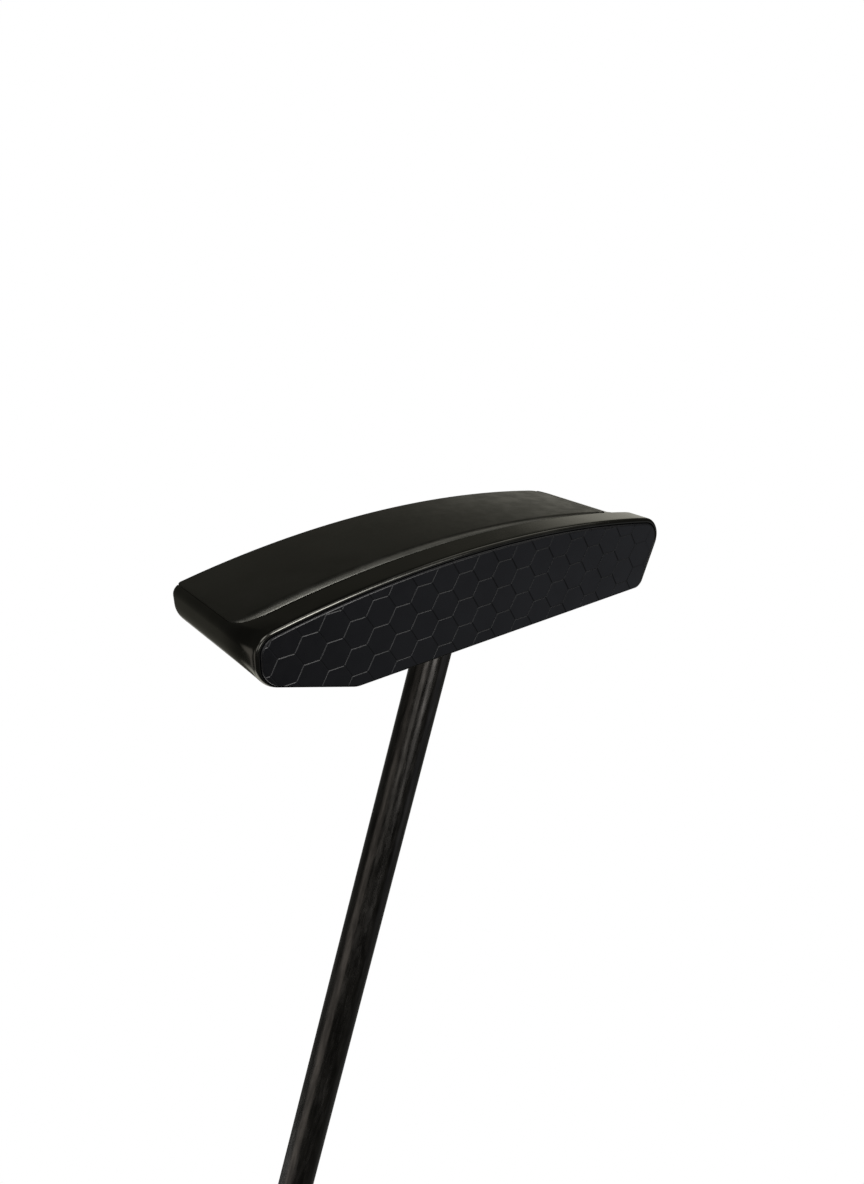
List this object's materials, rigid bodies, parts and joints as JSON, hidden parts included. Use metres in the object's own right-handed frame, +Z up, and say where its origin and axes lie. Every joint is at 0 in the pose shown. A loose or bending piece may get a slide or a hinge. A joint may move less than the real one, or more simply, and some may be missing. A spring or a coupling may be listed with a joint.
{
  "type": "putter",
  "caption": "Centre-shafted mid-mallet putter: cambered bar head, hexagon-pattern polymer face insert, set-in sole plate, leaning steel shaft and flat-fronted grip.",
  "frame": {"origin": "lowest point of the cambered sole plate, under the shaft's entry into the crown", "axes": "+Z up with the club soled at address; -Y the way the face looks; +X towards the heel and the player, so the shaft leans towards +X"},
  "size_m": [0.3583, 0.0383, 0.8167],
  "materials": {
    "head_metal": "satin",
    "sole_metal": "satin",
    "insert_polymer": "matte",
    "adhesive": "matte",
    "shaft_metal": "gloss",
    "epoxy": "gloss",
    "plug": "matte",
    "tape": "matte",
    "foam": "matte",
    "grip": "matte",
    "grip_rubber": "matte"
  },
  "bodies": {
    "root": {"head_body": "head_metal", "sole_plate": "sole_metal", "sole_plate_bond": "adhesive", "face_insert": "insert_polymer", "insert_bond": "adhesive", "shaft": "shaft_metal", "shaft_bond": "epoxy", "shaft_tip_plug": "plug", "grip_tape": "tape", "grip_core": "foam", "grip_skin": "grip", "grip_collar": "grip_rubber", "grip_end_cap": "grip_rubber"}
  },
  "joints": []
}
